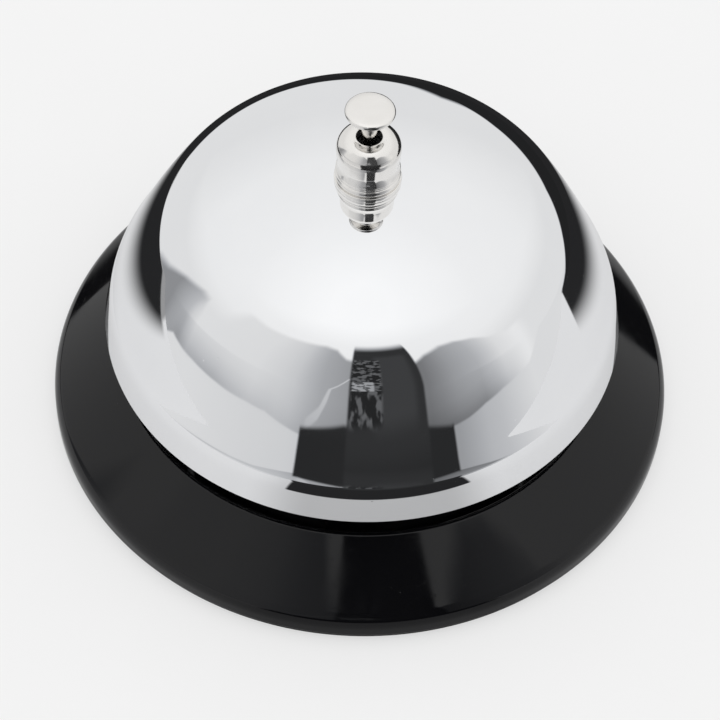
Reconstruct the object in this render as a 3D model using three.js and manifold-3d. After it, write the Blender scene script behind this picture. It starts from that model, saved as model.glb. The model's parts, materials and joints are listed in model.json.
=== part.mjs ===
// Counter call bell: a chromed gong on a hollow stem above a black enamelled base. Pressing the
// button drives a sprung plunger down through the stem, and its tip tips a pivoted hammer outwards
// and up at the inside of the gong.
// Millimetres, +Z up. The origin is the centre of the footprint, on the surface the bell stands on.
// The hammer swings in the XZ plane, towards +X.

import * as THREE from "three";
import { mergeVertices } from "three/addons/utils/BufferGeometryUtils.js";
import Module from "manifold-3d";

const wasm = await Module();
wasm.setup();

// ---- Driving dimensions -------------------------------------------------------------------------

const BASE_R = 42.5; // outermost radius of the base
const BASE_SHEET = 0.8; // sheet thickness of the pressed base
const SKIRT_TOP_Z = 2.4;
const EDGE_ARC = 3.0; // rounding between skirt and flare
const FLARE_ANGLE = 51; // degrees that the flare's normal stands above the horizon
const SHOULDER_Z = 11.1; // top of the shoulder, under the gong's rim
const SHOULDER_ARC = 0.6;
const FLOOR_Z = 8.8; // floor of the recess inside the shoulder, which carries the bracket
const RIM_TURN_IN = 2.9; // width of the rim turned in under the skirt
const FOOT_H = 0.8; // height of the foot ring

const GONG_SHEET = 1.0;
const GONG_CROWN_Z = 42.6; // outer face of the flat land under the nut
const GONG_LAND_R = 4.4;
const GONG_CROWN_ARC = 57.8; // radius of the shallow crown
const GONG_CROWN_SWEEP = 21.4; // degrees of crown before the tighter shoulder
const GONG_SHOULDER_ARC = 12.5;
const GONG_WALL_ANGLE = 30; // degrees from upright where the shoulder becomes the wall
const GONG_HOLLOW_ANGLE = 24; // the steepest place, where the wall starts to turn outwards again
const GONG_HOLLOW_H = 2.5; // height of the shallow hollow above the crease
const GONG_CREASE_R = 33.6; // crease between the wall and the lip
const GONG_CREASE_Z = 21.25;
const GONG_LIP_ANGLE = 22; // degrees from upright of the lip just below the crease
const GONG_LIP_TURN = 1.7; // height over which the lip turns nearly upright
const GONG_RIM_R = 34.8;
const GONG_RIM_Z = 16.15;

const STEM_THREAD_R = 2.7;
const STEM_SLEEVE_R = 3.8;
const STEM_TOP_Z = 46.6;
const ROD_R = 1.0; // plunger rod
const RUNNING_GAP = 0.15; // radial clearance of the rod in its guide
const SPRING_POCKET_R = 2.15;
const SPRING_WIRE_R = 0.2;
const SPRING_TURNS = 7;
const SPRING_PRESSED = 5.6; // length of the spring with the button down
const TRAVEL = 3.2; // how far the button goes down

const BUTTON_TOP_Z = 55.4;
const BUTTON_R = 3.2;
const NUT_R = 4.18; // widest part of the cap nut's nose
const NUT_WAIST_R = 3.95;
const NUT_FOOT_R = 4.25; // bead at the nut's foot
const NUT_TOP_Z = 50.55;
const NUT_HOLE_R = 1.65;
const NUT_CAVITY_TOP_Z = 49.3;
const WASHER_H = 0.7; // bright washer between nut and gong
const SEAT_WASHER_H = 0.5; // fibre washer under the gong

const FRAME_SHEET = 1.2;
const FRAME_TOP_Z = 33.2;
const FRAME_HALF_W = 6.0; // outside of each cheek, in Y
const FRAME_HALF_L = 6.5; // end of the bridge, in X
const FOOT_REACH = 13.5; // outer edge of each bracket foot, in Y
const RIVET_X = 4.2;
const RIVET_Y = 9.8;
const RIVET_SHANK_R = 1.2;

const PIVOT_X = 8.0;
const PIVOT_Z = 27.0;
const PIN_R = 1.0;
const BUSH_R = 1.9;
const ARM_LENGTH = 20.4; // pivot to the centre of the striker
const ARM_DROP = 34; // degrees below the horizon at rest
const ARM_THICK = 1.2;
const ARM_HALF_W = 2.4;
const TANG_HALF_W = 1.5; // the arm's narrow end, inside the striker
const STRIKER_R = 3.0;
const TIP_GAP = 0.25; // between the rod's tip and the lever's toe at rest

const FIT = 0.1; // radial clearance of screwed, riveted and pushed-on pieces

const FINE = 48; // segments round the gong and base
const MEDIUM = 24;
const SMALL = 16;

// Heights that follow from the dimensions above.
const GONG_UNDER_Z = GONG_CROWN_Z - GONG_SHEET;
const SLEEVE_TOP_Z = GONG_UNDER_Z - SEAT_WASHER_H;
const NUT_BASE_Z = GONG_CROWN_Z + WASHER_H;
const BRIDGE_UNDER_Z = FRAME_TOP_Z - FRAME_SHEET;
const ROD_TIP_Z = PIVOT_Z + ARM_THICK / 2 + TIP_GAP;
const COLLAR_TOP_Z = NUT_CAVITY_TOP_Z - 0.2;
const COLLAR_H = 0.8;
const SPRING_SEAT_Z = COLLAR_TOP_Z - COLLAR_H - TRAVEL - SPRING_PRESSED;
const LOCK_WASHER_H = 0.5;
const LOCK_NUT_H = 2.4;

// ---- Materials ----------------------------------------------------------------------------------

const metal = (color, roughness) => new THREE.MeshStandardMaterial({ color, roughness, metalness: 1 });
const CHROME = metal(0xe4e6ea, 0.05);
const NICKEL = metal(0xd9d5cd, 0.12);
const ZINC = metal(0xb6b8ba, 0.38);
const SPRING_STEEL = metal(0x8f9296, 0.3);
const BRASS = metal(0xc9a24b, 0.3);
const BLACKENED = metal(0x2a2a2c, 0.5);
const ENAMEL = new THREE.MeshStandardMaterial({ color: 0x08080a, roughness: 0.12, metalness: 0 });
const RUBBER = new THREE.MeshStandardMaterial({ color: 0x1b1b1c, roughness: 0.8, metalness: 0 });
const FIBRE = new THREE.MeshStandardMaterial({ color: 0x7a2f22, roughness: 0.85, metalness: 0 });

// ---- Helpers ------------------------------------------------------------------------------------

const radians = THREE.MathUtils.degToRad;
const degrees = THREE.MathUtils.radToDeg;

// Points of an arc in the (radius, height) plane, from one angle to another, in degrees.
function arc(centreR, centreZ, radius, from, to, steps) {
  return Array.from({ length: steps + 1 }, (_, i) => {
    const a = radians(from + ((to - from) * i) / steps);
    return [centreR + radius * Math.cos(a), centreZ + radius * Math.sin(a)];
  });
}

// A solid of revolution about Z. The profile runs anticlockwise in (radius, height), and is closed
// here unless both its ends are on the axis.
function turned(profile, segments) {
  const points = profile.map(([r, z]) => new THREE.Vector2(r, z));
  const onAxis = points[0].x === 0 && points.at(-1).x === 0;
  if (!onAxis) points.push(points[0].clone());
  return new THREE.LatheGeometry(points, segments).rotateX(Math.PI / 2);
}

// A ring with a rectangular section.
function ring(innerR, outerR, lowZ, highZ, segments) {
  return turned([[innerR, lowZ], [outerR, lowZ], [outerR, highZ], [innerR, highZ]], segments);
}

function block(x0, x1, y0, y1, z0, z1) {
  return new THREE.BoxGeometry(x1 - x0, y1 - y0, z1 - z0)
    .translate((x0 + x1) / 2, (y0 + y1) / 2, (z0 + z1) / 2);
}

// A straight round bar between two heights, for cutting and joining.
function bar(radius, lowZ, highZ, segments) {
  return turned([[0, lowZ], [radius, lowZ], [radius, highZ], [0, highZ]], segments);
}

// An outline in the XZ plane, given thickness symmetrically about Y = 0.
function plateXZ(outline, halfWidth) {
  const shape = new THREE.Shape(outline.map(([x, z]) => new THREE.Vector2(x, z)));
  return new THREE.ExtrudeGeometry(shape, { depth: 2 * halfWidth, bevelEnabled: false })
    .translate(0, 0, -halfWidth)
    .rotateX(Math.PI / 2);
}

// An outline in the YZ plane, drawn out along X.
function barAlongX(outline, x0, x1) {
  const shape = new THREE.Shape(outline.map(([y, z]) => new THREE.Vector2(y, z)));
  return new THREE.ExtrudeGeometry(shape, { depth: x1 - x0, bevelEnabled: false })
    .applyMatrix4(new THREE.Matrix4().makeBasis(
      new THREE.Vector3(0, 1, 0), new THREE.Vector3(0, 0, 1), new THREE.Vector3(1, 0, 0)))
    .translate(x0, 0, 0);
}

// Turns a piece made about Z so that it lies along Y through the given point.
const alongY = (geometry, x, z) => geometry.rotateX(Math.PI / 2).translate(x, 0, z);

function solid(geometry) {
  const bare = geometry.index ? geometry.toNonIndexed() : geometry.clone();
  bare.deleteAttribute("normal");
  bare.deleteAttribute("uv");
  const merged = mergeVertices(bare, 1e-4);
  return new wasm.Manifold(new wasm.Mesh({
    numProp: 3,
    vertProperties: merged.attributes.position.array,
    triVerts: new Uint32Array(merged.index.array),
  }));
}

function geometryOf(manifold) {
  const mesh = manifold.getMesh();
  const geometry = new THREE.BufferGeometry();
  geometry.setAttribute("position", new THREE.BufferAttribute(new Float32Array(mesh.vertProperties), 3));
  geometry.setIndex(new THREE.BufferAttribute(new Uint32Array(mesh.triVerts), 1));
  geometry.computeVertexNormals();
  return geometry;
}

const join = (...parts) => parts.map(solid).reduce((a, b) => a.add(b));
const cut = (body, ...tools) => tools.map(solid).reduce((a, b) => a.subtract(b), body);

// ---- Base ---------------------------------------------------------------------------------------

// One sheet pressed to a skirt, a flare, a rounded shoulder and a recessed floor.
function baseShell() {
  const flare = radians(FLARE_ANGLE);
  const edgeR = BASE_R - EDGE_ARC;
  const insideArc = EDGE_ARC - BASE_SHEET;
  const flareRise = SHOULDER_Z - SHOULDER_ARC - SKIRT_TOP_Z - (EDGE_ARC - SHOULDER_ARC) * Math.sin(flare);
  const shoulderR = edgeR + (EDGE_ARC - SHOULDER_ARC) * Math.cos(flare) - flareRise * Math.tan(flare);
  const recessR = shoulderR - SHOULDER_ARC;
  const wallR = recessR + BASE_SHEET;
  const cornerZ = SKIRT_TOP_Z + insideArc * Math.sin(flare)
    + (edgeR + insideArc * Math.cos(flare) - wallR) / Math.tan(flare);
  const bevel = 0.4;
  const profile = [
    [0, FLOOR_Z - BASE_SHEET],
    [wallR, FLOOR_Z - BASE_SHEET],
    [wallR, cornerZ],
    ...arc(edgeR, SKIRT_TOP_Z, insideArc, FLARE_ANGLE, 0, 4),
    [BASE_R - BASE_SHEET, FOOT_H + BASE_SHEET],
    [BASE_R - RIM_TURN_IN, FOOT_H + BASE_SHEET],
    [BASE_R - RIM_TURN_IN, FOOT_H],
    [BASE_R - bevel, FOOT_H],
    [BASE_R, FOOT_H + bevel],
    ...arc(edgeR, SKIRT_TOP_Z, EDGE_ARC, 0, FLARE_ANGLE, 5),
    ...arc(shoulderR, SHOULDER_Z - SHOULDER_ARC, SHOULDER_ARC, FLARE_ANGLE, 180, 5),
    [recessR, FLOOR_Z],
    [0, FLOOR_Z],
  ];
  const holes = rivetPlaces().map(([x, y]) =>
    bar(RIVET_SHANK_R + FIT, FLOOR_Z - 2, FLOOR_Z + 2, SMALL).translate(x, y, 0));
  return geometryOf(cut(solid(turned(profile, FINE)), ...holes));
}

// The non-slip ring under the turned-in rim.
function footRing() {
  const outerR = BASE_R - 0.5;
  const innerR = BASE_R - RIM_TURN_IN;
  return turned([[innerR, 0], [outerR - 0.2, 0], [outerR, 0.2], [outerR, FOOT_H], [innerR, FOOT_H]], FINE);
}

// ---- Gong ---------------------------------------------------------------------------------------

// An arc that also gives the direction, in degrees, that the surface faces at each point.
function facingArc(centreR, centreZ, radius, from, to, steps) {
  return arc(centreR, centreZ, radius, from, to, steps)
    .map(([r, z], i) => [r, z, from + ((to - from) * i) / steps]);
}

// An arc, given in the same way, that leaves one point facing startAngle and ends at another.
function arcTo([r0, z0], startAngle, [r1, z1], steps) {
  const endAngle = 2 * degrees(Math.atan2(r1 - r0, z0 - z1)) - startAngle;
  const radius = (z0 - z1) / (Math.sin(radians(startAngle)) - Math.sin(radians(endAngle)));
  const centreR = r0 - radius * Math.cos(radians(startAngle));
  const centreZ = z0 - radius * Math.sin(radians(startAngle));
  return facingArc(centreR, centreZ, radius, startAngle, endAngle, steps);
}

// The gong's outer face from the stem hole to the rim: a flat land, the crown, the shoulder, the
// wall, a shallow hollow above the crease, and the lip that turns nearly upright.
function gongFace() {
  const crownZ = GONG_CROWN_Z - Math.sqrt(GONG_CROWN_ARC ** 2 - GONG_LAND_R ** 2);
  const landAngle = 90 - degrees(Math.asin(GONG_LAND_R / GONG_CROWN_ARC));
  const crownEnd = 90 - GONG_CROWN_SWEEP;
  const inward = GONG_CROWN_ARC - GONG_SHOULDER_ARC;
  const shoulderR = inward * Math.cos(radians(crownEnd));
  const shoulderZ = crownZ + inward * Math.sin(radians(crownEnd));
  const shoulder = facingArc(shoulderR, shoulderZ, GONG_SHOULDER_ARC, crownEnd, GONG_WALL_ANGLE, 6);
  const wallFoot = [
    GONG_CREASE_R - GONG_HOLLOW_H * Math.tan(radians(27.5)),
    GONG_CREASE_Z + GONG_HOLLOW_H,
  ];
  const lipMiddle = [
    GONG_CREASE_R + 0.42 * (GONG_RIM_R - GONG_CREASE_R),
    GONG_CREASE_Z - GONG_LIP_TURN,
  ];
  const hollow = arcTo(wallFoot, GONG_HOLLOW_ANGLE, [GONG_CREASE_R, GONG_CREASE_Z], 2);
  const lipTop = arcTo([GONG_CREASE_R, GONG_CREASE_Z], GONG_LIP_ANGLE, lipMiddle, 2);
  return [
    [STEM_THREAD_R + FIT, GONG_CROWN_Z, 90],
    [GONG_LAND_R, GONG_CROWN_Z, 90],
    ...facingArc(0, crownZ, GONG_CROWN_ARC, landAngle, crownEnd, 4).slice(1),
    ...shoulder.slice(1),
    ...arcTo(shoulder.at(-1), GONG_WALL_ANGLE, wallFoot, 3).slice(1),
    ...hollow.slice(1, -1),
    [GONG_CREASE_R, GONG_CREASE_Z, (hollow.at(-1)[2] + GONG_LIP_ANGLE) / 2],
    ...lipTop.slice(1),
    ...arcTo(lipMiddle, lipTop.at(-1)[2], [GONG_RIM_R, GONG_RIM_Z], 2).slice(1),
  ];
}

function gong() {
  const outer = gongFace();
  const inner = outer.map(([r, z, angle]) => [
    Math.max(r - GONG_SHEET * Math.cos(radians(angle)), STEM_THREAD_R + FIT),
    z - GONG_SHEET * Math.sin(radians(angle)),
  ]);
  return turned([...inner, ...outer.map(([r, z]) => [r, z]).reverse()], FINE);
}

// ---- Stem and its fastenings --------------------------------------------------------------------

function stem() {
  const bottomZ = BRIDGE_UNDER_Z - LOCK_WASHER_H - LOCK_NUT_H - 0.2;
  const guideR = ROD_R + RUNNING_GAP;
  return turned([
    [guideR, bottomZ],
    [STEM_THREAD_R, bottomZ],
    [STEM_THREAD_R, FRAME_TOP_Z],
    [STEM_SLEEVE_R, FRAME_TOP_Z],
    [STEM_SLEEVE_R, SLEEVE_TOP_Z],
    [STEM_THREAD_R, SLEEVE_TOP_Z],
    [STEM_THREAD_R, STEM_TOP_Z],
    [SPRING_POCKET_R, STEM_TOP_Z],
    [SPRING_POCKET_R, SPRING_SEAT_Z],
    [guideR, SPRING_SEAT_Z],
  ], MEDIUM);
}

// A flat washer round the stem's thread.
const washer = (outerR, lowZ, highZ) => ring(STEM_THREAD_R + FIT, outerR, lowZ, highZ, MEDIUM);

function lockNut() {
  const acrossFlats = 7.8;
  const cornerR = acrossFlats / 2 / Math.cos(Math.PI / 6);
  const topZ = BRIDGE_UNDER_Z - LOCK_WASHER_H;
  const hexagon = bar(cornerR, topZ - LOCK_NUT_H, topZ, 6);
  return geometryOf(cut(solid(hexagon), bar(STEM_THREAD_R + FIT, topZ - 4, topZ + 1, MEDIUM)));
}

// Hollow nut: a bead at the foot, a groove and a narrower bead, a waist and a bulging nose.
function capNut() {
  const boreR = STEM_THREAD_R + FIT;
  const noseArc = 2.2;
  const footArc = 0.5;
  return turned([
    [boreR, NUT_BASE_Z],
    [NUT_FOOT_R - 0.3, NUT_BASE_Z],
    ...arc(NUT_FOOT_R - footArc, NUT_BASE_Z + 0.55, footArc, -50, 70, 4),
    [NUT_WAIST_R + 0.05, NUT_BASE_Z + 1.15],
    [NUT_WAIST_R + 0.2, NUT_BASE_Z + 1.35],
    [NUT_WAIST_R + 0.17, NUT_BASE_Z + 1.65],
    [NUT_WAIST_R, NUT_BASE_Z + 2.1],
    [NUT_WAIST_R + 0.07, NUT_BASE_Z + 3.2],
    ...arc(NUT_R - noseArc, NUT_TOP_Z - noseArc, noseArc, -12, 90, 8),
    [NUT_HOLE_R + 0.2, NUT_TOP_Z],
    [NUT_HOLE_R, NUT_TOP_Z - 0.2],
    [NUT_HOLE_R, NUT_CAVITY_TOP_Z],
    [boreR, NUT_CAVITY_TOP_Z],
  ], MEDIUM);
}

// ---- Plunger ------------------------------------------------------------------------------------

// Flat button, its coned neck and the rod, turned in one piece, with a round tip.
function pushButton() {
  const edge = 0.35;
  const underZ = BUTTON_TOP_Z - 0.9;
  return turned([
    ...arc(0, ROD_TIP_Z + ROD_R, ROD_R, -90, 0, 4).map(([r, z], i) => [i ? r : 0, z]),
    [ROD_R, underZ - 1.0],
    [ROD_R + 0.6, underZ],
    [BUTTON_R - edge, underZ],
    ...arc(BUTTON_R - edge, BUTTON_TOP_Z - 0.4, edge, -60, 80, 4),
    [0, BUTTON_TOP_Z],
  ], MEDIUM);
}

// The collar that holds the plunger in the nut and that the spring pushes on.
function plungerCollar() {
  return ring(ROD_R + 0.03, SPRING_POCKET_R - RUNNING_GAP, COLLAR_TOP_Z - COLLAR_H, COLLAR_TOP_Z, SMALL);
}

class Helix extends THREE.Curve {
  constructor(radius, lowZ, highZ, turns) {
    super();
    Object.assign(this, { radius, lowZ, highZ, turns });
  }
  getPoint(t, target = new THREE.Vector3()) {
    const angle = 2 * Math.PI * this.turns * t;
    return target.set(this.radius * Math.cos(angle), this.radius * Math.sin(angle),
      THREE.MathUtils.lerp(this.lowZ, this.highZ, t));
  }
}

function returnSpring() {
  const coilR = (ROD_R + SPRING_POCKET_R) / 2;
  const inset = SPRING_WIRE_R + 0.06; // keeps the wire's end turns off the seat and the collar
  const helix = new Helix(coilR, SPRING_SEAT_Z + inset, COLLAR_TOP_Z - COLLAR_H - inset, SPRING_TURNS);
  const section = new THREE.Shape().absarc(0, 0, SPRING_WIRE_R, 0, 2 * Math.PI);
  return new THREE.ExtrudeGeometry(section, {
    curveSegments: 6,
    steps: SPRING_TURNS * 9,
    extrudePath: helix,
  });
}

// ---- Bracket and hammer -------------------------------------------------------------------------

function rivetPlaces() {
  return [-1, 1].flatMap((sy) => [-1, 1].map((sx) => [sx * RIVET_X, sy * RIVET_Y]));
}

// Pressed bracket: a bridge for the stem, two cheeks for the pivot and a riveted foot on each side.
function bracket() {
  const inside = FRAME_HALF_W - FRAME_SHEET;
  const footTop = FLOOR_Z + FRAME_SHEET;
  const half = [
    [FRAME_HALF_W, FRAME_TOP_Z],
    [FRAME_HALF_W, footTop],
    [FOOT_REACH, footTop],
    [FOOT_REACH, FLOOR_Z],
    [inside, FLOOR_Z],
    [inside, BRIDGE_UNDER_Z],
  ];
  const hat = [...half, ...half.toReversed().map(([y, z]) => [-y, z])];
  const lobe = arc(PIVOT_X, PIVOT_Z, 3.4, -30, 80, 6);
  const side = [
    [-7, FLOOR_Z - 1],
    [7, FLOOR_Z - 1],
    [7, footTop + 1.5],
    ...lobe,
    [FRAME_HALF_L, FRAME_TOP_Z - 1.2],
    [FRAME_HALF_L, FRAME_TOP_Z + 1],
    [-FRAME_HALF_L, FRAME_TOP_Z + 1],
    [-FRAME_HALF_L, footTop + 2.5],
    [-7, footTop + 1.5],
  ];
  const body = solid(barAlongX(hat, -9, 13)).intersect(solid(plateXZ(side, FOOT_REACH + 1)));
  return geometryOf(cut(
    body,
    bar(STEM_THREAD_R + FIT, FRAME_TOP_Z - 3, FRAME_TOP_Z + 2, MEDIUM),
    alongY(bar(PIN_R + FIT / 2, -10, 10, SMALL), PIVOT_X, PIVOT_Z),
    ...rivetPlaces().map(([x, y]) =>
      bar(RIVET_SHANK_R + FIT, FLOOR_Z - 2, footTop + 2, SMALL).translate(x, y, 0)),
  ));
}

// Domed head on top of the bracket foot, shank, and clenched tail under the base.
function rivet() {
  const headZ = FLOOR_Z + FRAME_SHEET;
  const tailZ = FLOOR_Z - BASE_SHEET;
  return turned([
    [0, tailZ - 0.8],
    [1.7, tailZ - 0.7],
    [1.9, tailZ],
    [RIVET_SHANK_R, tailZ],
    [RIVET_SHANK_R, headZ],
    [2.2, headZ],
    [1.9, headZ + 0.7],
    [1.1, headZ + 1.15],
    [0, headZ + 1.3],
  ], SMALL);
}

function pivotPin() {
  const outside = FRAME_HALF_W;
  return alongY(turned([
    [0, -outside - 0.8],
    [1.3, -outside - 0.7],
    [1.8, -outside],
    [PIN_R, -outside],
    [PIN_R, outside],
    [1.8, outside],
    [1.3, outside + 0.7],
    [0, outside + 0.8],
  ], SMALL), PIVOT_X, PIVOT_Z);
}

function pivotBush() {
  const half = FRAME_HALF_W - FRAME_SHEET - 0.2;
  return alongY(ring(PIN_R + FIT, BUSH_R, -half, half, SMALL), PIVOT_X, PIVOT_Z);
}

// A box laid along the arm: distances are from the pivot along the arm, and across it.
function alongArm(from, to, halfThick, halfWide) {
  return block(from, to, -halfWide, halfWide, -halfThick, halfThick)
    .rotateY(radians(ARM_DROP))
    .translate(PIVOT_X, 0, PIVOT_Z);
}

// The lever: a level toe under the rod's tip, an eye on the bush, and the drooping arm with a
// narrow tang that the striker is pushed onto.
function hammerLever() {
  const toe = block(-2.4, PIVOT_X - BUSH_R - 0.3, -ARM_HALF_W, ARM_HALF_W,
    PIVOT_Z - ARM_THICK / 2, PIVOT_Z + ARM_THICK / 2);
  const eye = alongY(bar(BUSH_R + 0.9, -ARM_HALF_W, ARM_HALF_W, SMALL), PIVOT_X, PIVOT_Z);
  const arm = alongArm(BUSH_R + 0.3, ARM_LENGTH - STRIKER_R - 0.1, ARM_THICK / 2, ARM_HALF_W);
  const tang = alongArm(BUSH_R + 0.3, ARM_LENGTH + STRIKER_R / 2, ARM_THICK / 2, TANG_HALF_W);
  const bore = alongY(bar(BUSH_R + 0.06, -10, 10, SMALL), PIVOT_X, PIVOT_Z);
  return geometryOf(cut(join(toe, eye, arm, tang), bore));
}

function striker() {
  const ball = new THREE.SphereGeometry(STRIKER_R, 24, 14)
    .rotateX(Math.PI / 2)
    .translate(ARM_LENGTH, 0, 0)
    .rotateY(radians(ARM_DROP))
    .translate(PIVOT_X, 0, PIVOT_Z);
  const slot = alongArm(ARM_LENGTH - 2 * STRIKER_R, ARM_LENGTH + STRIKER_R / 2 + FIT,
    ARM_THICK / 2 + FIT, TANG_HALF_W + FIT);
  return geometryOf(cut(solid(ball), slot));
}

// ---- Assembly -----------------------------------------------------------------------------------

const bell = new THREE.Group();

function add(name, geometry, material, parent = bell) {
  const mesh = new THREE.Mesh(geometry, material);
  mesh.name = name;
  parent.add(mesh);
  return mesh;
}

add("base_shell", baseShell(), ENAMEL);
add("foot_ring", footRing(), RUBBER);
add("bracket", bracket(), ZINC);
rivetPlaces().forEach(([x, y], i) => {
  add(`bracket_rivet_${i + 1}`, rivet(), ZINC).position.set(x, y, 0);
});
add("stem", stem(), BRASS);
add("lock_washer", washer(4, BRIDGE_UNDER_Z - LOCK_WASHER_H, BRIDGE_UNDER_Z), ZINC);
add("lock_nut", lockNut(), ZINC);
add("gong_seat_washer", washer(GONG_LAND_R - 0.2, SLEEVE_TOP_Z, GONG_UNDER_Z), FIBRE);
add("gong", gong(), CHROME);
add("nut_washer", washer(NUT_FOOT_R + 0.1, GONG_CROWN_Z, NUT_BASE_Z), NICKEL);
add("cap_nut", capNut(), NICKEL);
add("pivot_pin", pivotPin(), ZINC);
add("return_spring", returnSpring(), SPRING_STEEL);

const plunger = new THREE.Group();
add("push_button", pushButton(), NICKEL, plunger);
add("plunger_collar", plungerCollar(), BLACKENED, plunger);
bell.add(plunger);

const hammer = new THREE.Group();
add("hammer_lever", hammerLever(), ZINC, hammer);
add("pivot_bush", pivotBush(), BRASS, hammer);
add("striker", striker(), BRASS, hammer);
bell.add(hammer);

export default bell;
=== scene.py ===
"""Looks of a counter call bell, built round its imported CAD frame. Outlines are in millimetres."""

import json
import math

import bmesh
import bpy
from mathutils import Matrix, Vector


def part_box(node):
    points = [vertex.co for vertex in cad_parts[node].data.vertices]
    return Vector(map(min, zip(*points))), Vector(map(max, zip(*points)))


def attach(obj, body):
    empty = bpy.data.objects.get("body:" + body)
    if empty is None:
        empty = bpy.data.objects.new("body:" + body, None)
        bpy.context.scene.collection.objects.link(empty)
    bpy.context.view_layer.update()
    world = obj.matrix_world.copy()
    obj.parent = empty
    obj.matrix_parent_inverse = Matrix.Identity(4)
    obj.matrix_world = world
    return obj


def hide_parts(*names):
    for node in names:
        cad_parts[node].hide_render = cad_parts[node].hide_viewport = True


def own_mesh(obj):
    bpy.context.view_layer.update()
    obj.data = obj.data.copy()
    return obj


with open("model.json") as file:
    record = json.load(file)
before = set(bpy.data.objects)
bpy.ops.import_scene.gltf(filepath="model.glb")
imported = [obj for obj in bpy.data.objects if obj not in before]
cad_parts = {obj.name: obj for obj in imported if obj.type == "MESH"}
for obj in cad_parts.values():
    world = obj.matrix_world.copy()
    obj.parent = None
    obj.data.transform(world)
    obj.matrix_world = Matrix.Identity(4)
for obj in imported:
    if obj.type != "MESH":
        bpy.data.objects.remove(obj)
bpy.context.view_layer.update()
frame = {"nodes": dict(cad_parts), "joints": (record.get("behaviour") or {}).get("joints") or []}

MM = 0.001

# ---- Camera -------------------------------------------------------------------------------------

CAMERA_AT = Vector((-0.0001, -0.22304, 0.2885))  # metres
CAMERA_DOWN = 51.8  # degrees below the horizon
CAMERA_ROLL = 2.19  # degrees
LENS = 129.7  # focal length in millimetres
SENSOR_WIDTH = 36

# ---- Dimensions that the frame's boxes don't give, in millimetres -------------------------------

BASE_SHEET = 0.8
SKIRT_TOP_Z = 2.4
EDGE_ARC = 3.0
FLARE_ANGLE = 51  # the way the skirt faces, in degrees above level
SHOULDER_ARC = 0.6
FLOOR_Z = 8.8
RIM_TURN_IN = 2.9

# The gong's angles say which way its face looks, in degrees above level, except where noted.
GONG_SHEET = 1.0
GONG_LAND_R = 4.4
GONG_CROWN_ARC = 57.8
GONG_CROWN_SWEEP = 21.4  # from the axis to the crown's end
GONG_SHOULDER_ARC = 12.5
GONG_WALL_ANGLE = 30
GONG_HOLLOW_ANGLE = 24.6
GONG_HOLLOW_SLOPE = 26.7  # from upright, of the line between the hollow's ends
GONG_HOLLOW_H = 2.5
GONG_CREASE_R = 33.6
GONG_CREASE_Z = 21.25
GONG_LIP_ANGLE = 22
GONG_LIP_BEND = 0.42  # part of the way from the crease to the rim where the lip's bend changes
GONG_LIP_TURN = 1.7  # how far below the crease that is

STEM_BORE_R = 2.8
STEM_THREAD_R = 2.7
STEM_POCKET_R = 2.15
ROD_R = 1.0
ROD_PLAY = 0.15
WIRE_R = 0.2

BRACKET_SHEET = 1.2
RIVET_SHANK_R = 1.2
PIN_R = 1.0
PIN_PLAY = 0.1

ROUND = 256  # segments round most turned pieces
FULL_TURN = 2 * math.pi
DEGREES = 180 / math.pi  # in a radian


def box_mm(node):
    low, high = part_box(node)
    return low / MM, high / MM


# ---- Outlines -----------------------------------------------------------------------------------


def arc(centre_r, centre_z, radius, start, end, steps):
    """Points of an arc in the (radius, height) plane, between two angles in degrees."""
    angles = [math.radians(start + (end - start) * i / steps) for i in range(steps + 1)]
    return [(centre_r + radius * math.cos(a), centre_z + radius * math.sin(a)) for a in angles]


def rounded(outline, radius, steps=4):
    """The closed outline with each corner cut back by radius and rounded off."""
    points = [Vector(p) for p in outline]
    result = []
    for i, corner in enumerate(points):
        before = points[i - 1] - corner
        after = points[(i + 1) % len(points)] - corner
        if min(before.length, after.length) < 1e-6:
            continue
        reach = min(radius, 0.45 * before.length, 0.45 * after.length)
        on_axis = abs(corner.x) < 1e-9
        if on_axis or before.angle(after) > math.radians(165):
            result.append(tuple(corner))
            continue
        first = corner + before.normalized() * reach
        last = corner + after.normalized() * reach
        for step in range(steps + 1):
            t = step / steps
            result.append(tuple(first * (1 - t) ** 2 + corner * 2 * t * (1 - t) + last * t**2))
    return result


def ring_outline(inner_r, outer_r, low_z, high_z):
    return [(inner_r, low_z), (outer_r, low_z), (outer_r, high_z), (inner_r, high_z)]


# ---- Mesh making --------------------------------------------------------------------------------


def add_object(name, mesh, material, body, replaced):
    mesh.materials.clear()
    mesh.materials.append(material)
    piece = bpy.data.objects.new(name, mesh)
    bpy.context.scene.collection.objects.link(piece)
    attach(piece, body)
    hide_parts(replaced)
    return piece


def smooth(mesh, sharp_angle=32):
    mesh.shade_smooth()
    mesh.set_sharp_from_angle(angle=math.radians(sharp_angle))


def lathe_mesh(name, outline, segments=ROUND):
    """A closed solid turned about Z from a closed outline, or one whose ends are on the axis."""
    mesh = bpy.data.meshes.new(name)
    work = bmesh.new()
    rings = []
    for r, z in outline:
        if abs(r) < 1e-9:
            rings.append([work.verts.new((0, 0, z * MM))])
            continue
        turns = [FULL_TURN * i / segments for i in range(segments)]
        rings.append([work.verts.new((r * MM * math.cos(t), r * MM * math.sin(t), z * MM)) for t in turns])
    closed = len(rings[0]) > 1
    for i in range(len(rings) if closed else len(rings) - 1):
        a, b = rings[i], rings[(i + 1) % len(rings)]
        for k in range(segments):
            n = (k + 1) % segments
            corners = [a[k % len(a)], a[n % len(a)], b[n % len(b)], b[k % len(b)]]
            unique = list(dict.fromkeys(corners))
            if len(unique) > 2:
                work.faces.new(unique)
    bmesh.ops.recalc_face_normals(work, faces=work.faces)
    work.to_mesh(mesh)
    work.free()
    smooth(mesh)
    return mesh


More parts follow.
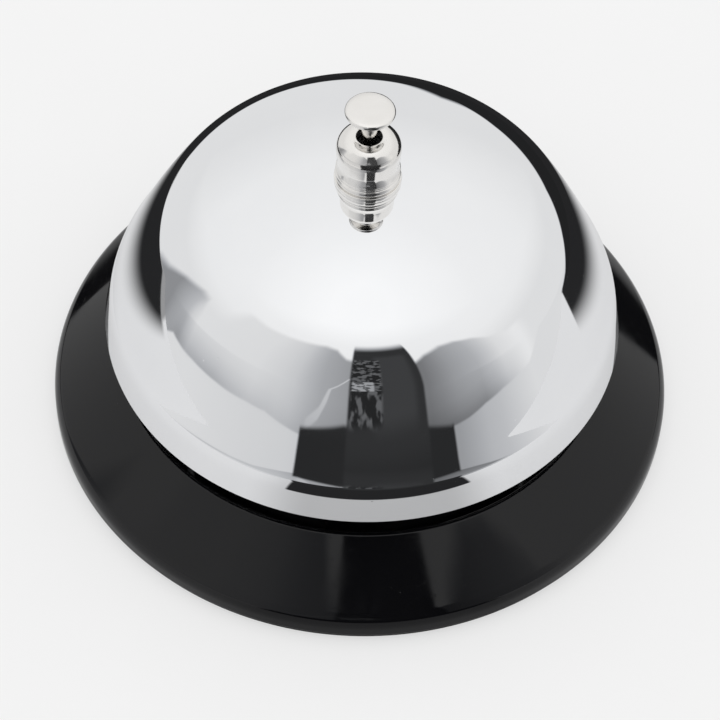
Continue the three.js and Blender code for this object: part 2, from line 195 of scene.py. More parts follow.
def turned(node, outline, material, body="base", segments=ROUND, place=None):
    """A turned piece that stands for a CAD node. place puts it elsewhere than on the Z axis."""
    mesh = lathe_mesh(node + "_turned", outline, segments)
    if place is not None:
        mesh.transform(place)
    return add_object(node + "_fine", mesh, material, body, node)


def softened(node, width, material, body="base"):
    """A finer copy of a CAD node with its sharp edges rounded over by width, in millimetres."""
    mesh = frame["nodes"][node].data.copy()
    mesh.name = node + "_softened"
    work = bmesh.new()
    work.from_mesh(mesh)
    bmesh.ops.remove_doubles(work, verts=work.verts, dist=1e-6)
    bmesh.ops.dissolve_limit(work, angle_limit=math.radians(2), verts=work.verts, edges=work.edges)
    work.to_mesh(mesh)
    work.free()
    piece = add_object(node + "_fine", mesh, material, body, node)
    bevel = piece.modifiers.new("edges", "BEVEL")
    bevel.width = width * MM
    bevel.segments = 3
    bevel.limit_method = "ANGLE"
    bevel.angle_limit = math.radians(35)
    bevel.harden_normals = True
    smooth(mesh, 40)
    return piece


# ---- Materials ----------------------------------------------------------------------------------


class Nodes:
    """Short calls for building one node tree."""

    def __init__(self, tree):
        self.tree = tree
        tree.nodes.clear()

    def add(self, kind, **settings):
        node = self.tree.nodes.new(kind)
        for key, value in settings.items():
            setattr(node, key, value)
        return node

    def link(self, source, target):
        if isinstance(source, (int, float, tuple)):
            target.default_value = source
        else:
            self.tree.links.new(source, target)

    def math(self, operation, *values):
        node = self.add("ShaderNodeMath", operation=operation)
        for value, socket in zip(values, node.inputs):
            self.link(value, socket)
        return node.outputs[0]

    def ramp(self, value, start, end, low=0.0, high=1.0, kind="SMOOTHSTEP"):
        node = self.add("ShaderNodeMapRange", interpolation_type=kind)
        for source, socket in zip((value, start, end, low, high), node.inputs):
            self.link(source, socket)
        return node.outputs[0]

    def product(self, *values):
        result = values[0]
        for value in values[1:]:
            result = self.math("MULTIPLY", result, value)
        return result

    def largest(self, *values):
        result = values[0]
        for value in values[1:]:
            result = self.math("MAXIMUM", result, value)
        return result

    def one_minus(self, value):
        return self.math("SUBTRACT", 1.0, value)

    def band(self, value, low, high, rise, fall=None):
        """1 between low and high, rising to it just below low and falling to 0 just above high."""
        fall = rise if fall is None else fall
        return self.product(self.ramp(value, low - rise, low), self.ramp(value, high, high + fall, 1.0, 0.0))

    def bearing(self, x, y):
        """Degrees from the direction of the camera, which is -Y, growing towards +X."""
        return self.product(self.math("ARCTAN2", x, self.product(y, -1)), DEGREES)

    def mix_color(self, factor, first, second):
        node = self.add("ShaderNodeMix", data_type="RGBA")
        self.link(factor, node.inputs[0])
        self.link(first, node.inputs[6])
        self.link(second, node.inputs[7])
        return node.outputs[2]

    def noise(self, vector, scale, detail=4.0, roughness=0.55):
        node = self.add("ShaderNodeTexNoise")
        self.link(vector, node.inputs["Vector"])
        node.inputs["Scale"].default_value = scale
        node.inputs["Detail"].default_value = detail
        node.inputs["Roughness"].default_value = roughness
        return node.outputs["Fac"]


class Finish(Nodes):
    """A material under construction: its shader, coordinates in metres, and stacked bumps."""

    def __init__(self, name, metallic, ior=1.5):
        self.material = bpy.data.materials.new(name)
        self.material.use_nodes = True
        super().__init__(self.material.node_tree)
        self.shader = self.add("ShaderNodeBsdfPrincipled")
        output = self.add("ShaderNodeOutputMaterial")
        self.link(self.shader.outputs[0], output.inputs["Surface"])
        self.shader.inputs["Metallic"].default_value = metallic
        self.shader.inputs["IOR"].default_value = ior
        self.place = self.add("ShaderNodeTexCoord").outputs["Object"]
        split = self.add("ShaderNodeSeparateXYZ")
        self.link(self.place, split.inputs[0])
        self.x, self.y, self.z = split.outputs
        self.normal = None

    def radius(self):
        """Distance from the Z axis."""
        squares = self.product(self.x, self.x), self.product(self.y, self.y)
        return self.math("SQRT", self.math("ADD", *squares))

    def turning(self, scale):
        """Noise that is the same all the way round the Z axis, as tool marks are."""
        join = self.add("ShaderNodeCombineXYZ")
        self.link(self.radius(), join.inputs[0])
        self.link(self.z, join.inputs[1])
        return self.noise(join.outputs[0], scale, detail=3.0, roughness=0.6)

    def stretched(self, factors, scale, detail=3.0):
        """Noise drawn out along the axes with small factors."""
        node = self.add("ShaderNodeVectorMath", operation="MULTIPLY")
        self.link(self.place, node.inputs[0])
        node.inputs[1].default_value = factors
        return self.noise(node.outputs[0], scale, detail)

    def color(self, factor, first, second):
        self.link(self.mix_color(factor, (*first, 1), (*second, 1)), self.shader.inputs["Base Color"])

    def roughness(self, factor, low, high):
        self.link(self.ramp(factor, 0.3, 0.7, low, high), self.shader.inputs["Roughness"])

    def bump(self, height, depth_mm):
        node = self.add("ShaderNodeBump")
        node.inputs["Distance"].default_value = depth_mm * MM
        node.inputs["Strength"].default_value = 1.0
        self.link(height, node.inputs["Height"])
        if self.normal is not None:
            self.link(self.normal, node.inputs["Normal"])
        self.normal = node.outputs[0]
        self.link(self.normal, self.shader.inputs["Normal"])


def chrome():
    """Bright chrome plate: faint haze, a few hair-fine rubbing marks and tiny pits."""
    m = Finish("chrome_plate", 1.0)
    haze = m.noise(m.place, 60, detail=5)
    m.color(haze, (0.86, 0.87, 0.885), (0.93, 0.935, 0.945))
    rubbed = m.stretched((1.0, 1.0, 7.0), 900, detail=2)
    fine = m.ramp(rubbed, 0.66, 0.72)
    m.roughness(m.math("ADD", m.product(haze, 0.9), m.product(fine, 0.25)), 0.012, 0.05)
    m.bump(m.noise(m.place, 45, detail=1), 0.004)
    pits = m.ramp(m.noise(m.place, 1400, detail=1), 0.78, 0.84)
    m.bump(m.product(pits, -1.0), 0.003)
    return m.material


def nickel():
    """Warm bright nickel on turned metal, with fine rings left by the tool."""
    m = Finish("nickel_plate", 1.0)
    haze = m.noise(m.place, 350, detail=4)
    m.color(haze, (0.83, 0.81, 0.78), (0.92, 0.905, 0.88))
    rings = m.turning(9000)
    m.roughness(m.math("ADD", m.product(haze, 0.5), m.product(rings, 0.5)), 0.05, 0.16)
    m.bump(rings, 0.0012)
    return m.material


def enamel():
    """Gloss black stoved enamel: slight orange peel, fine dust and hairline rubbing marks."""
    m = Finish("black_enamel", 0.0, ior=1.4)
    dust = m.ramp(m.noise(m.place, 2600, detail=2), 0.74, 0.80)
    m.color(dust, (0.0022, 0.0022, 0.0028), (0.02, 0.02, 0.021))
    wear = m.noise(m.place, 90, detail=5)
    rubbed = m.ramp(m.stretched((1.0, 1.0, 5.0), 700, detail=2), 0.64, 0.72, 0.0, 0.3)
    m.roughness(m.math("ADD", m.product(wear, 0.85), rubbed), 0.035, 0.13)
    m.bump(m.noise(m.place, 260, detail=2), 0.004)
    return m.material


def rubber():
    """Matt moulded rubber with a fine grain."""
    m = Finish("black_rubber", 0.0)
    grain = m.noise(m.place, 1800, detail=5)
    m.color(grain, (0.012, 0.012, 0.012), (0.035, 0.034, 0.033))
    m.roughness(grain, 0.6, 0.85)
    m.bump(grain, 0.03)
    return m.material


def zinc():
    """Zinc plate on pressed steel, cloudy and lightly rubbed."""
    m = Finish("zinc_plate", 1.0)
    cloud = m.noise(m.place, 420, detail=6)
    m.color(cloud, (0.42, 0.43, 0.45), (0.62, 0.62, 0.60))
    m.roughness(cloud, 0.24, 0.46)
    m.bump(m.stretched((1.0, 1.0, 9.0), 1500), 0.006)
    return m.material


def brass():
    """Turned brass, slightly tarnished."""
    m = Finish("turned_brass", 1.0)
    tarnish = m.noise(m.place, 500, detail=5)
    m.color(tarnish, (0.50, 0.34, 0.12), (0.78, 0.57, 0.25))
    rings = m.turning(6000)
    m.roughness(tarnish, 0.16, 0.36)
    m.bump(rings, 0.003)
    return m.material


def spring_steel():
    """Bright drawn wire."""
    m = Finish("spring_wire", 1.0)
    drawn = m.noise(m.place, 2500, detail=4)
    m.color(drawn, (0.30, 0.31, 0.33), (0.52, 0.53, 0.55))
    m.roughness(drawn, 0.18, 0.34)
    m.bump(drawn, 0.002)
    return m.material


def blackened():
    """Steel blackened by oxide, rubbed grey in places."""
    m = Finish("blackened_steel", 1.0)
    rubbed = m.noise(m.place, 900, detail=5)
    m.color(m.ramp(rubbed, 0.5, 0.8), (0.012, 0.012, 0.013), (0.08, 0.08, 0.085))
    m.roughness(rubbed, 0.3, 0.5)
    m.bump(rubbed, 0.003)
    return m.material


def fibre():
    """Red vulcanised fibre, with the grain of pressed paper."""
    m = Finish("vulcanised_fibre", 0.0)
    grain = m.stretched((1.0, 1.0, 6.0), 2200, detail=6)
    m.color(grain, (0.13, 0.03, 0.02), (0.27, 0.08, 0.05))
    m.roughness(grain, 0.65, 0.9)
    m.bump(grain, 0.012)
    return m.material


CHROME, NICKEL, ENAMEL, RUBBER = chrome(), nickel(), enamel(), rubber()
ZINC, BRASS, SPRING_STEEL, FIBRE = zinc(), brass(), spring_steel(), fibre()
BLACKENED = blackened()

# ---- Base ---------------------------------------------------------------------------------------


def base_shell():
    """The pressed base: a flared skirt, turned in at the foot, round a recessed floor."""
    low, high = box_mm("base_shell")
    base_r, foot_z, shoulder_z = high.x, low.z, high.z
    flare = math.radians(FLARE_ANGLE)
    edge_r = base_r - EDGE_ARC
    inside_arc = EDGE_ARC - BASE_SHEET
    rise = shoulder_z - SHOULDER_ARC - SKIRT_TOP_Z - (EDGE_ARC - SHOULDER_ARC) * math.sin(flare)
    shoulder_r = edge_r + (EDGE_ARC - SHOULDER_ARC) * math.cos(flare) - rise * math.tan(flare)
    recess_r = shoulder_r - SHOULDER_ARC
    wall_r = recess_r + BASE_SHEET
    corner_z = (
        SKIRT_TOP_Z + inside_arc * math.sin(flare)
        + (edge_r + inside_arc * math.cos(flare) - wall_r) / math.tan(flare)
    )
    fillet, inside, foot_arc = 0.5, 0.3, 0.6
    outline = [
        (0, FLOOR_Z - BASE_SHEET),
        *arc(wall_r - fillet, FLOOR_Z - BASE_SHEET + fillet, fillet, 270, 360, 6),
        *arc(wall_r + inside, corner_z - 0.1, inside, 180, 180 - FLARE_ANGLE, 4),
        *arc(edge_r, SKIRT_TOP_Z, inside_arc, FLARE_ANGLE, 0, 14),
        *arc(base_r - BASE_SHEET - inside, foot_z + BASE_SHEET + inside, inside, 0, -90, 4),
        (base_r - RIM_TURN_IN, foot_z + BASE_SHEET),
        (base_r - RIM_TURN_IN, foot_z),
        *arc(base_r - foot_arc, foot_z + foot_arc, foot_arc, -90, 0, 8),
        *arc(edge_r, SKIRT_TOP_Z, EDGE_ARC, 0, FLARE_ANGLE, 24),
        *arc(shoulder_r, shoulder_z - SHOULDER_ARC, SHOULDER_ARC, FLARE_ANGLE, 180, 16),
        *arc(recess_r - fillet, FLOOR_Z + fillet, fillet, 0, -90, 6),
        (0, FLOOR_Z),
    ]
    turned("base_shell", outline, ENAMEL)


def foot_ring():
    """The non-slip ring, with fine concentric ribs on its underside."""
    high = box_mm("foot_ring")[1]
    inner_r = high.x - (RIM_TURN_IN - 0.5)
    width = high.x - inner_r
    ribs = 5
    under = []
    for i in range(ribs):
        start = inner_r + width * i / ribs
        under += [(start + 0.08 * width / ribs, 0.12), (start + 0.2 * width / ribs, 0)]
        under += [(start + 0.8 * width / ribs, 0), (start + 0.92 * width / ribs, 0.12)]
    outline = [(inner_r, high.z), (inner_r, 0.15), *under, (high.x, 0.2), (high.x, high.z)]
    turned("foot_ring", outline, RUBBER)


# ---- Gong ---------------------------------------------------------------------------------------


def facing_arc(centre_r, centre_z, radius, start, end, steps):
    """An arc that also gives the direction, in degrees, that the surface faces at each point."""
    points = arc(centre_r, centre_z, radius, start, end, steps)
    return [(r, z, start + (end - start) * i / steps) for i, (r, z) in enumerate(points)]


def arc_to(start, start_angle, end, steps):
    """An arc, given in the same way, that leaves start facing start_angle and ends at another point."""
    end_angle = 2 * math.degrees(math.atan2(end[0] - start[0], start[1] - end[1])) - start_angle
    first, last = math.radians(start_angle), math.radians(end_angle)
    radius = (start[1] - end[1]) / (math.sin(first) - math.sin(last))
    centre = start[0] - radius * math.cos(first), start[1] - radius * math.sin(first)
    return facing_arc(*centre, radius, start_angle, end_angle, steps)


def gong_face(rim_r, rim_z, crown_z):
    """The gong's outer face from the stem hole to the rim, as (radius, height, facing angle)."""
    crown_centre = crown_z - math.sqrt(GONG_CROWN_ARC**2 - GONG_LAND_R**2)
    land_angle = 90 - math.degrees(math.asin(GONG_LAND_R / GONG_CROWN_ARC))
    crown_end = 90 - GONG_CROWN_SWEEP
    inward = GONG_CROWN_ARC - GONG_SHOULDER_ARC
    shoulder_r = inward * math.cos(math.radians(crown_end))
    shoulder_z = crown_centre + inward * math.sin(math.radians(crown_end))
    shoulder = facing_arc(shoulder_r, shoulder_z, GONG_SHOULDER_ARC, crown_end, GONG_WALL_ANGLE, 70)
    foot_r = GONG_CREASE_R - GONG_HOLLOW_H * math.tan(math.radians(GONG_HOLLOW_SLOPE))
    foot = (foot_r, GONG_CREASE_Z + GONG_HOLLOW_H)
    middle = (GONG_CREASE_R + GONG_LIP_BEND * (rim_r - GONG_CREASE_R), GONG_CREASE_Z - GONG_LIP_TURN)
    hollow = arc_to(foot, GONG_HOLLOW_ANGLE, (GONG_CREASE_R, GONG_CREASE_Z), 16)
    lip_top = arc_to((GONG_CREASE_R, GONG_CREASE_Z), GONG_LIP_ANGLE, middle, 12)
    lip_foot = arc_to(middle, lip_top[-1][2], (rim_r, rim_z), 12)
    return [
        (STEM_BORE_R, crown_z, 90),
        (GONG_LAND_R, crown_z, 90),
        *facing_arc(0, crown_centre, GONG_CROWN_ARC, land_angle, crown_end, 40)[1:],
        *shoulder[1:],
        *arc_to(shoulder[-1][:2], GONG_WALL_ANGLE, foot, 30)[1:],
        *hollow[1:-1],
        (GONG_CREASE_R, GONG_CREASE_Z, (hollow[-1][2] + GONG_LIP_ANGLE) / 2),
        *lip_top[1:],
        *lip_foot[1:],
    ]


def gong():
    """One thickness of sheet: the face, and the same line moved inward by the sheet."""
    low, high = box_mm("gong")
    face = gong_face(high.x, low.z, high.z)
    inner = []
    for r, z, angle in face[:2] + face[2:-1:3] + face[-1:]:  # the hidden side needs fewer points
        a = math.radians(angle)
        inner.append((max(r - GONG_SHEET * math.cos(a), STEM_BORE_R), z - GONG_SHEET * math.sin(a)))
    outer = [(r, z) for r, z, _ in face]
    turned("gong", inner + outer[::-1], CHROME, segments=384)


# ---- Stem, nuts and washers ---------------------------------------------------------------------


def flat_ring(node, inner_r, material, body="base"):
    """A washer or collar with its edges just rounded off."""
    edge = 0.12
    low, high = box_mm(node)
    outline = rounded(ring_outline(inner_r, high.x, low.z, high.z), edge)
    return turned(node, outline, material, body, segments=128)


def cap_nut():
    """A turned nut with a bead above its foot, a waist and a round nose with a hole for the rod."""
    low, high = box_mm("cap_nut")
    foot_r, waist_r, nose_r = high.x, 3.95, 4.18
    foot_arc, nose_arc = 0.5, 2.2
    hole_r, cavity_z = 1.65, high.z - 1.25
    outline = [
        (STEM_BORE_R, low.z),
        (foot_r - 0.3, low.z),
        *arc(foot_r - foot_arc, low.z + 0.55, foot_arc, -55, 75, 14),
        *arc(waist_r + 0.2, low.z + 1.18, 0.12, 230, 130, 6),
        *arc(waist_r + 0.05, low.z + 1.5, 0.16, -60, 60, 8),
        *arc(waist_r + 3.0, low.z + 2.6, -3.0, 12, -9, 16),
        (waist_r + 0.09, low.z + 3.3),
        *arc(nose_r - nose_arc, high.z - nose_arc, nose_arc, -12, 86, 36),
        *arc(hole_r + 0.2, high.z - 0.2, 0.2, 92, 180, 6),
        (hole_r, cavity_z),
        (STEM_BORE_R, cavity_z),
    ]
    turned("cap_nut", outline, NICKEL)


def push_button():
    """The button's thin head and its rod, rounded off at the end that meets the hammer."""
    low, high = box_mm("push_button")
    edge = 0.4
    under_z = high.z - 0.9
    outline = [
        *[(r if i else 0, z) for i, (r, z) in enumerate(arc(0, low.z + ROD_R, ROD_R, -90, 0, 12))],
        (ROD_R, under_z - 0.95),
        *arc(ROD_R + 1.0, under_z - 0.75, 0.8, 180, 105, 8),
        (high.x - edge, under_z + 0.05),
        *arc(high.x - edge, under_z + 0.4, edge, -80, 60, 12),
        (high.x - 0.55, high.z - 0.06),
        (high.x - 1.1, high.z - 0.02),
        (0, high.z),
    ]
    turned("push_button", outline, NICKEL, "plunger")


def stem():
    """A hollow stem, plain between the bracket and the gong and threaded at both ends."""
    low, high = box_mm("stem")
    sleeve_low = box_mm("bracket")[1].z
    sleeve_high = box_mm("gong_seat_washer")[0].z
    guide_r = ROD_R + ROD_PLAY
    pitch, thread_depth = 0.5, 0.2

    def threaded(from_z, to_z):
        """Rings in place of the thread's helix."""
        root_r = STEM_THREAD_R - thread_depth
        points = []
        for i in range(int((to_z - from_z) / pitch)):
            z = from_z + i * pitch
            points += [(root_r, z + 0.08), (STEM_THREAD_R, z + 0.2)]
            points += [(STEM_THREAD_R, z + 0.3), (root_r, z + 0.42)]
        return points

    outline = [
        (guide_r, low.z),
        *threaded(low.z, sleeve_low),
        (STEM_THREAD_R, sleeve_low),
        (high.x - 0.1, sleeve_low),
        (high.x, sleeve_low + 0.1),
        (high.x, sleeve_high - 0.1),
        (high.x - 0.1, sleeve_high),
        (STEM_THREAD_R, sleeve_high),
        *threaded(sleeve_high, high.z),
        (STEM_POCKET_R, high.z),
        (STEM_POCKET_R, spring_seat_z()),
        (guide_r, spring_seat_z()),
    ]
    turned("stem", outline, BRASS, segments=96)


# ---- Plunger and spring -------------------------------------------------------------------------


def spring_joint():
    return next(j for j in frame["joints"] if j["name"] == "plunger_press")


def spring_seat_z():
    return spring_joint()["deforming_nodes"][0]["fixed_end_z_m"] / MM


def return_spring():
    """A wound wire whose end turns lie close."""
    coil_r = box_mm("return_spring")[1].x - WIRE_R
    seat_z, collar_z = spring_seat_z(), box_mm("plunger_collar")[0].z
    bottom, top = seat_z + WIRE_R, collar_z - WIRE_R
    turns, closed = 8, 0.75  # in all, and lying close at each end
    per_turn, sides = 40, 12
    pitch_closed = 2 * WIRE_R
    room = top - bottom - 2 * closed * pitch_closed
    work = bmesh.new()
    loops = []
    for i in range(turns * per_turn + 1):
        turn = i / per_turn
        lift = min(max((turn - closed) / (turns - 2 * closed), 0), 1)
        turns_closed = min(turn, closed) + max(turn - (turns - closed), 0)
        a = FULL_TURN * turn
        out = Vector((math.cos(a), math.sin(a), 0))
        centre = out * coil_r + Vector((0, 0, bottom + pitch_closed * turns_closed + lift * room))
        loop = []
        for k in range(sides):
            b = FULL_TURN * k / sides
            offset = out * math.cos(b) + Vector((0, 0, math.sin(b)))
            loop.append(work.verts.new((centre + offset * WIRE_R) * MM))
        loops.append(loop)
    for a, b in zip(loops, loops[1:]):
        for k in range(sides):
            n = (k + 1) % sides
            work.faces.new((a[k], a[n], b[n], b[k]))
    work.faces.new(loops[0])
    work.faces.new(loops[-1][::-1])
    bmesh.ops.recalc_face_normals(work, faces=work.faces)
    mesh = bpy.data.meshes.new("return_spring_wound")
    work.to_mesh(mesh)
    work.free()
    smooth(mesh, 50)
    piece = add_object("return_spring_fine", mesh, SPRING_STEEL, "base", "return_spring")
    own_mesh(piece)


# ---- Bracket and hammer -------------------------------------------------------------------------


def bracket_rivets():
    """Rivets through the bracket's feet and the floor, domed above and closed flat below."""
    for i in range(1, 5):
        node = f"bracket_rivet_{i}"
        low, high = box_mm(node)
        centre = (low + high) / 2
        foot_top = FLOOR_Z + BRACKET_SHEET
        floor_under = FLOOR_Z - BASE_SHEET
        head_r, head_h = high.x - centre.x, high.z - foot_top
        outline = [
            (0, low.z),
            (1.3, low.z + 0.05),
            (1.75, low.z + 0.25),
            (1.9, floor_under),
            (RIVET_SHANK_R, floor_under),
            (RIVET_SHANK_R, foot_top),
            (head_r, foot_top),
            *[(head_r * r, foot_top + head_h * z) for r, z in arc(0, 0, 1, 8, 90, 12)[:-1]],
            (0, high.z),
        ]
        place = Matrix.Translation((centre.x * MM, centre.y * MM, 0))
        turned(node, outline, ZINC, segments=64, place=place)


def along_y(node):
    """The matrix that takes a piece turned about Z to the same piece turned about Y."""
    low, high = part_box(node)
    centre = (low + high) / 2
    return Matrix.Translation((centre.x, 0, centre.z)) @ Matrix.Rotation(math.radians(90), 4, "X")


def pivot_pin():
    """A pin with a head outside each of the bracket's cheeks."""
    low, high = box_mm("pivot_pin")
    half, cheek = high.y, box_mm("pivot_bush")[1].y + 0.2 + BRACKET_SHEET
    head_r = (high.x - low.x) / 2
    end = [(PIN_R, cheek), (head_r, cheek), (head_r - 0.1, cheek + 0.35), (head_r - 0.6, half - 0.1)]
    end.append((0, half))
    outline = [(r, -z) for r, z in end[::-1]] + end
    turned("pivot_pin", outline, ZINC, segments=64, place=along_y("pivot_pin"))


def pivot_bush():
    low, high = box_mm("pivot_bush")
    outline = rounded(ring_outline(PIN_R + PIN_PLAY, (high.x - low.x) / 2, low.y, high.y), 0.15)
    turned("pivot_bush", outline, BRASS, "hammer", segments=64, place=along_y("pivot_bush"))


def striker():
    """A turned ball with a short collar where the lever's narrow end goes in."""
    low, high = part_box("striker")
    centre = (low + high) / 2
    pivot_low, pivot_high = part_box("pivot_bush")
    out = (centre - (pivot_low + pivot_high) / 2).normalized()
    ball_r = (high.y - low.y) / 2 / MM
    collar = [(0, -ball_r - 0.1), (1.75, -ball_r - 0.1), (1.95, -ball_r + 0.15), (2.0, -ball_r + 0.7)]
    outline = [*collar, *arc(0, 0, ball_r, -44, 90, 40)[:-1], (0, ball_r)]
    place = Matrix.Translation(centre) @ out.to_track_quat("Z", "Y").to_matrix().to_4x4()
    turned("striker", outline, BRASS, "hammer", segments=96, place=place)


base_shell()
foot_ring()
gong()
cap_nut()
push_button()
stem()
flat_ring("nut_washer", STEM_BORE_R, NICKEL)
flat_ring("gong_seat_washer", STEM_BORE_R, FIBRE)
flat_ring("lock_washer", STEM_BORE_R, ZINC)
flat_ring("plunger_collar", ROD_R + 0.02, BLACKENED, "plunger")
return_spring()
softened("bracket", 0.3, ZINC)
softened("lock_nut", 0.2, ZINC)
softened("hammer_lever", 0.2, ZINC, "hammer")
bracket_rivets()
pivot_pin()
pivot_bush()
striker()

# ---- Studio -------------------------------------------------------------------------------------

NEAR_TABLE_R = 0.16  # the part of the table that shows in reflections
TABLE_R = 3.0
TABLE_GLOW = 0.6  # painted light: the board glows for camera rays and fills the soft shadow round the bell


def painted_table_shade(m):
    """Painted shade: how dark each place on the near table is painted in reflections, from 0 to 1."""
    outward, r = m.bearing(m.x, m.y), m.radius()
    # The painted shade behind the bell starts along a line straight across, bent at the middle.
    bend = m.math("SUBTRACT", m.product(m.math("ABSOLUTE", m.x), 0.4), m.product(m.x, 0.03))
    behind = m.ramp(m.math("ADD", m.y, bend), 0.0487, 0.0697)
    # Beyond a slanting line on the right, and an arc on the left, the painted shade stops.
    slant = m.math("SUBTRACT", m.y, m.product(m.x, 0.38))
    left = m.ramp(outward, -10, 10, 1.0, 0.0)
    lit_again = m.product(m.ramp(r, 0.142, 0.152), left, m.ramp(outward, -142, -130))
    behind = m.product(behind, m.ramp(slant, -0.027, -0.025), m.one_minus(lit_again))
    corner = m.product(m.ramp(r, 0.125, 0.138), m.band(outward, -108, -92, 6, 2.5), 0.6)
    # In front it is painted dark past the table's edge, with a painted shadow of the camera over what is
    # left of it.
    front = m.product(m.band(outward, -20.5, 34.5, 1.5), m.ramp(r, 0.0655, 0.069))
    painted_camera_shade = m.product(m.band(outward, -12, 26, 22, 20), 0.36)
    return m.largest(behind, front, painted_camera_shade, corner)


def table_material():
    """Matt white board. Its colour in reflections is painted dark a short way out (painted shade), and for
    camera rays it glows (painted light).
    """
    m = Finish("pale_table", 0.0)
    paper = m.noise(m.place, 40, detail=4)
    m.roughness(paper, 0.7, 0.9)
    m.shader.inputs["Specular IOR Level"].default_value = 0.0
    rays = m.add("ShaderNodeLightPath").outputs
    # Painted light: camera rays see a darker board (0.36) that glows, filling its soft shadow; glossy rays
    # see it at 0.795.
    board = m.mix_color(rays["Is Camera Ray"], (0.9, 0.9, 0.9, 1), (0.36, 0.36, 0.36, 1))
    light = m.mix_color(rays["Is Glossy Ray"], board, (0.795, 0.795, 0.80, 1))
    tinted = m.mix_color(m.ramp(paper, 0.3, 0.7, 0.0, 0.02), light, (0.6, 0.6, 0.6, 1))
    # Painted shade: in glossy rays the board's colour is darkened in drawn patches.
    painted_shade = m.product(rays["Is Glossy Ray"], painted_table_shade(m))
    m.link(m.mix_color(painted_shade, tinted, (0.02, 0.02, 0.021, 1)), m.shader.inputs["Base Color"])
    m.shader.inputs["Emission Color"].default_value = (0.92, 0.92, 0.92, 1)
    m.link(m.product(rays["Is Camera Ray"], TABLE_GLOW), m.shader.inputs["Emission Strength"])
    return m.material


def table():
    """A near patch that shows in reflections, and the rest of the board, which doesn't."""
    material = table_material()
    steps = 360
    turns = [FULL_TURN * i / steps for i in range(steps)]
    near, edge = ([(r * math.cos(t), r * math.sin(t), 0) for t in turns] for r in (NEAR_TABLE_R, TABLE_R))
    disc = [tuple(range(steps))]
    annulus = [(i, i + steps, (i + 1) % steps + steps, (i + 1) % steps) for i in range(steps)]
    shapes = (("table_near", near, disc, True), ("table_far", near + edge, annulus, False))
    for name, points, faces, reflected in shapes:
        mesh = bpy.data.meshes.new(name)
        mesh.from_pydata(points, [], faces)
        mesh.materials.append(material)
        floor = bpy.data.objects.new(name, mesh)
        floor.visible_glossy = reflected
        bpy.context.scene.collection.objects.link(floor)


class Sky(Nodes):
    """The white tent, the dark room past its edges, and the camera's own dark shape in front."""

    def __init__(self):
        world = bpy.data.worlds.new("studio")
        bpy.context.scene.world = world
        world.use_nodes = True
        super().__init__(world.node_tree)
        split = self.add("ShaderNodeSeparateXYZ")
        self.link(self.add("ShaderNodeTexCoord").outputs["Generated"], split.inputs[0])
        x, y, z = split.outputs
        self.azimuth = self.bearing(x, y)
        self.elevation = self.product(self.math("ARCSINE", z), DEGREES)
        self.light = self.curve(self.elevation, [(20, 0.80), (40, 0.90), (60, 0.93), (82, 1.04)])

    def curve(self, value, points):
        """Straight lines through (value, result) points, level outside them."""
        total = points[0][1]
        for (start, low), (end, high) in zip(points, points[1:]):
            if high != low:
                total = self.math("ADD", total, self.ramp(value, start, end, 0.0, high - low, "LINEAR"))
        return total

    def height(self, line):
        """Degrees above a line drawn by (azimuth, elevation) points."""
        return self.math("SUBTRACT", self.elevation, self.curve(self.azimuth, line))

    def under(self, line, soft):
        """1 below such a line, fading to 0 just above it."""
        return self.ramp(self.height(line), 0.0, soft, 1.0, 0.0)

    def toward(self, level, *masks):
        """Mixes the light towards level where all the masks are 1."""
        change = self.math("SUBTRACT", level, self.light)
        self.light = self.math("ADD", self.light, self.product(change, self.product(*masks)))

    def patch(self, azimuths, elevations, soft, level):
        across = self.band(self.azimuth, *azimuths, soft[0])
        self.toward(level, across, self.band(self.elevation, *elevations, soft[1]))

    def finish(self):
        """Plain white light, except in reflections, which show what is drawn."""
        plain = self.add("ShaderNodeBackground")
        plain.inputs["Color"].default_value = (1, 1, 1, 1)
        plain.inputs["Strength"].default_value = 1.0
        drawn = self.add("ShaderNodeBackground")
        tint = self.mix_color(self.ramp(self.light, 0.4, 0.85), (0.95, 0.965, 1.0, 1), (1, 1, 1, 1))
        self.link(tint, drawn.inputs["Color"])
        self.link(self.light, drawn.inputs["Strength"])
        rays = self.add("ShaderNodeLightPath")
        mix = self.add("ShaderNodeMixShader")
        self.link(rays.outputs["Is Glossy Ray"], mix.inputs[0])
        self.link(plain.outputs[0], mix.inputs[1])
        self.link(drawn.outputs[0], mix.inputs[2])
        self.link(mix.outputs[0], self.add("ShaderNodeOutputWorld").inputs["Surface"])


# Lines and levels below run over azimuth. They are where the surroundings show in the gong.


def tent_flaps(s):
    """The tent's two front flaps, darker towards the gap between them, and a seam in one."""
    levels = [
        (-75, 0.80), (-47, 0.77), (-35, 0.69), (-29, 0.63), (-23, 0.52), (-17, 0.43), (-8, 0.37),
        (25, 0.19), (31, 0.21), (37, 0.28), (43, 0.36), (55, 0.48), (61, 0.61), (67, 0.76), (80, 0.90),
    ]
    tops = [
        (-60, 46), (-23, 53), (-15, 51), (-8, 42), (25, 30), (35, 39), (46, 43), (54, 41), (62, 34),
        (67, 25), (76, 16),
    ]
    s.toward(s.curve(s.azimuth, levels), s.band(s.azimuth, -68, 76, 10), s.under(tops, 6))
    seam = s.height([(-22, 0.5), (-17, 3), (-14, 6), (-10, 12), (-5, 22)])
    s.toward(0.58, s.band(seam, -0.6, 0.6, 0.8), s.band(s.azimuth, -21, -4, 2))


def tent_corner(s):
    """A grey corner of the tent on the left."""
    levels = [(-100, 0.30), (-96, 0.38), (-92, 0.46), (-88, 0.54), (-85, 0.68), (-81, 0.80)]
    tops = [(-118, -20), (-109, -9), (-100, 8), (-91, 20), (-86, 20), (-80, 0)]
    s.toward(s.curve(s.azimuth, levels), s.band(s.azimuth, -117, -81, 2), s.under(tops, 10))


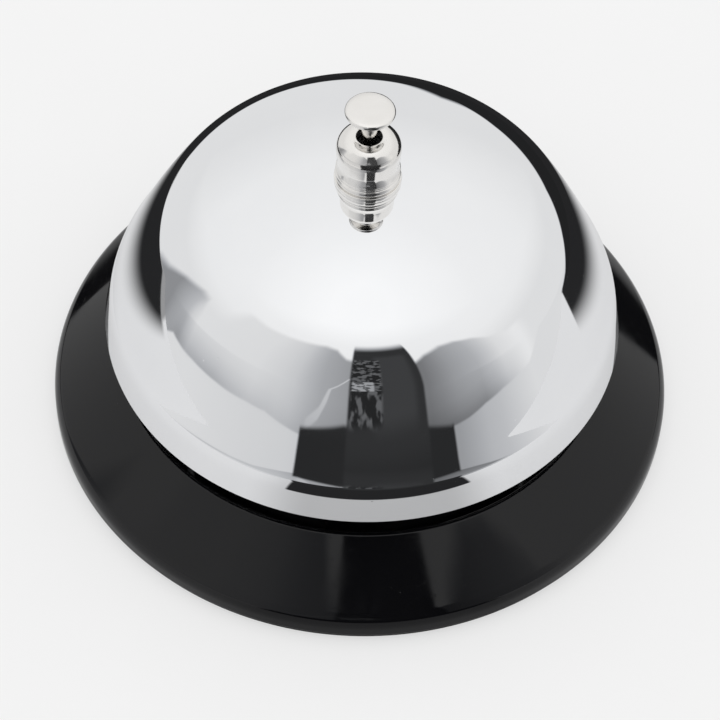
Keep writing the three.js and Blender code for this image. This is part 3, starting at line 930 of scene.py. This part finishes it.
def tent_foot_and_table(s):
    """The lit table ends in a line, with the foot of the tent in shade just above it."""
    table_end = [
        (-99, -17), (-95, -13.5), (-90, -11), (-82, -9.2), (-76, -7.7), (-70, -6.4), (-63, -5),
        (-55, -3.6), (-48, -2.4), (-39, -1.3), (36, -2.3), (46, -3), (54, -3.3), (63, -4.3),
        (70, -5.5), (78, -7),
    ]
    depth = s.curve(s.height(table_end), [(0, 0.50), (1, 0.40), (2, 0.29), (4, 0.13), (7, 0.0)])
    amount = s.curve(s.azimuth, [
        (-96, 0.0), (-87, 0.9), (-65, 0.9), (-48, 0.55), (-33, 0.4), (-25, 0.4), (39, 1), (55, 1),
        (63, 0.7), (72, 0.3), (80, 0),
    ])
    s.light = s.product(s.light, s.one_minus(s.product(depth, amount)))
    lit = s.curve(s.azimuth, [
        (-75, 0.77), (-45, 0.71), (-28, 0.68), (36, 0.34), (41, 0.36), (45, 0.41), (53, 0.52),
        (60, 0.57), (70, 0.69), (78, 0.77),
    ])
    s.toward(lit, s.under(table_end, 0.5))


def front_opening(s):
    """The dark room past the table's front edge, with the camera and some clutter before it."""
    room_top = [(-23, -0.5), (-6, 1.6), (20, 1.0), (38, -2.4)]
    s.toward(0.024, s.band(s.azimuth, -23, 38.5, 1.2), s.under(room_top, 1))
    s.patch((-4, 28), (0, 54), (1.5, 9), 0.034)
    s.patch((9, 23), (4, 46), (4, 5), 0.052)
    place = s.add("ShaderNodeCombineXYZ")
    s.link(s.product(s.azimuth, 0.22), place.inputs[0])
    s.link(s.product(s.elevation, 0.3), place.inputs[1])
    clutter = s.noise(place.outputs[0], 1, detail=2, roughness=0.6)
    s.patch((-3, 9), (3, 44), (2, 2), s.ramp(clutter, 0.47, 0.56, 0.02, 0.13))
    s.patch((-3, 6), (9, 19), (1, 1), s.ramp(clutter, 0.44, 0.50, 0.10, 0.36))


def room_behind(s):
    """The dark room behind, past the table's far edge."""
    tops = [
        (-180, -1), (-165, -9), (-150, -14), (-142, -19), (-104, -19), (106, -14), (115, -11),
        (126, -3), (140, 5), (160, 8), (170, 6), (180, -1),
    ]
    s.toward(0.018, s.one_minus(s.band(s.azimuth, -104, 107, 2.5)), s.under(tops, 2))


def sky():
    """What is drawn later covers what is drawn before it."""
    s = Sky()
    tent_flaps(s)
    tent_corner(s)
    tent_foot_and_table(s)
    front_opening(s)
    room_behind(s)
    s.finish()


def camera():
    """Looks along +Y and down, with a slight roll."""
    down = math.radians(CAMERA_DOWN)
    forward = Vector((0, math.cos(down), -math.sin(down)))
    level_up = Vector((0, math.sin(down), math.cos(down)))
    roll = math.radians(CAMERA_ROLL)
    right = Vector((1, 0, 0)) * math.cos(roll) + level_up * math.sin(roll)
    up = level_up * math.cos(roll) - Vector((1, 0, 0)) * math.sin(roll)
    turn = Matrix((right, up, -forward)).transposed().to_4x4()
    data = bpy.data.cameras.new("camera")
    data.lens = LENS
    data.sensor_width = SENSOR_WIDTH
    data.clip_start = 0.01
    data.clip_end = 20
    view = bpy.data.objects.new("camera", data)
    view.matrix_world = Matrix.Translation(CAMERA_AT) @ turn
    bpy.context.scene.collection.objects.link(view)
    bpy.context.scene.camera = view


table()
sky()
camera()
bpy.context.scene.view_settings.view_transform = "Standard"
